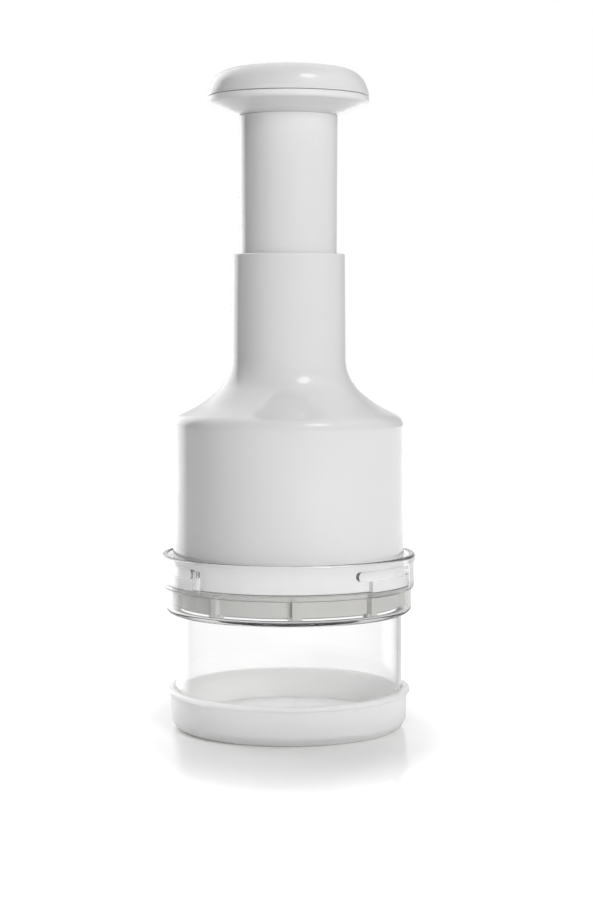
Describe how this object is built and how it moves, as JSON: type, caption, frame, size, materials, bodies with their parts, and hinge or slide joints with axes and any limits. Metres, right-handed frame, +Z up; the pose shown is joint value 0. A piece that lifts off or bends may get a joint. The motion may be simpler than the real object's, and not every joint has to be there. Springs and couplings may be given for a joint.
{
  "type": "plunger food chopper",
  "caption": "Push-down food chopper: mushroom knob on a sprung sliding shaft, bell housing, clear bayonet cup with a zigzag blade inside, and a shallow base cap.",
  "frame": {"origin": "centre of the base cap's resting face", "axes": "+Z up along the plunger, -Y towards the viewer of the picture, +X to the viewer's right"},
  "size_m": [0.0958, 0.0956, 0.2482],
  "materials": {
    "white_gloss": "glossy white moulded ABS",
    "white_inner": "satin white moulded plastic",
    "bearing_plastic": "natural acetal, slightly waxy",
    "grey_wiper": "satin pale grey polypropylene",
    "milky_cap": "milky translucent polyethylene",
    "clear_plastic": "clear moulded SAN, polished",
    "zinc_steel": "bright zinc-plated steel",
    "spring_steel": "drawn stainless spring wire",
    "spindle_steel": "drawn and twisted stainless bar",
    "blade_steel": "brushed stainless strip with a ground edge"
  },
  "bodies": {
    "base": {"base_cap": "milky_cap"},
    "cup": {"clear_cup": "clear_plastic"},
    "housing": {"housing_shell": "white_gloss", "guide_sleeve": "white_inner", "mechanism_plate": "white_inner", "plate_screws": "zinc_steel", "drive_nut": "bearing_plastic", "ratchet_ring": "bearing_plastic", "nut_spring": "spring_steel", "lower_spring_washer": "zinc_steel", "return_spring": "spring_steel"},
    "plunger": {"plunger_tube": "white_gloss", "knob_base": "white_gloss", "knob_cap": "white_gloss", "knob_screws": "zinc_steel", "spindle_bush": "bearing_plastic", "upper_spring_washer": "zinc_steel"},
    "blade_unit": {"spindle": "spindle_steel", "thrust_washer": "bearing_plastic", "spindle_washer": "zinc_steel", "spindle_screw": "zinc_steel", "blade_stem": "white_inner", "stem_pin": "zinc_steel", "zigzag_blade": "blade_steel", "blade_rivets": "blade_steel"},
    "wiper": {"wiper_disc": "grey_wiper"}
  },
  "joints": [
    {"name": "cup_lift", "type": "slide", "parent": "base", "child": "cup", "axis": [0, 0, 1], "range_m": [0, 0.03]},
    {"name": "housing_twist", "type": "hinge", "parent": "cup", "child": "housing", "pos_m": [0, 0, 0.057], "axis": [0, 0, 1], "range_deg": [-40, 0]},
    {"name": "plunger_press", "type": "slide", "parent": "housing", "child": "plunger", "axis": [0, 0, 1], "range_m": [-0.0423, 0], "stiffness_N_per_m": 450, "springref_m": 0.03, "deforming": ["return_spring"]},
    {"name": "blade_turn", "type": "hinge", "parent": "plunger", "child": "blade_unit", "pos_m": [0, 0, 0.19], "axis": [0, 0, 1], "range_deg": [0, 60]},
    {"name": "wiper_turn", "type": "hinge", "parent": "housing", "child": "wiper", "pos_m": [0, 0, 0.05], "axis": [0, 0, 1], "range_deg": [0, 60]}
  ],
  "couplings": [
    {"joint": "blade_turn", "follows": "plunger_press", "rad_per_m": -24.756},
    {"joint": "wiper_turn", "follows": "plunger_press", "rad_per_m": -24.756}
  ]
}
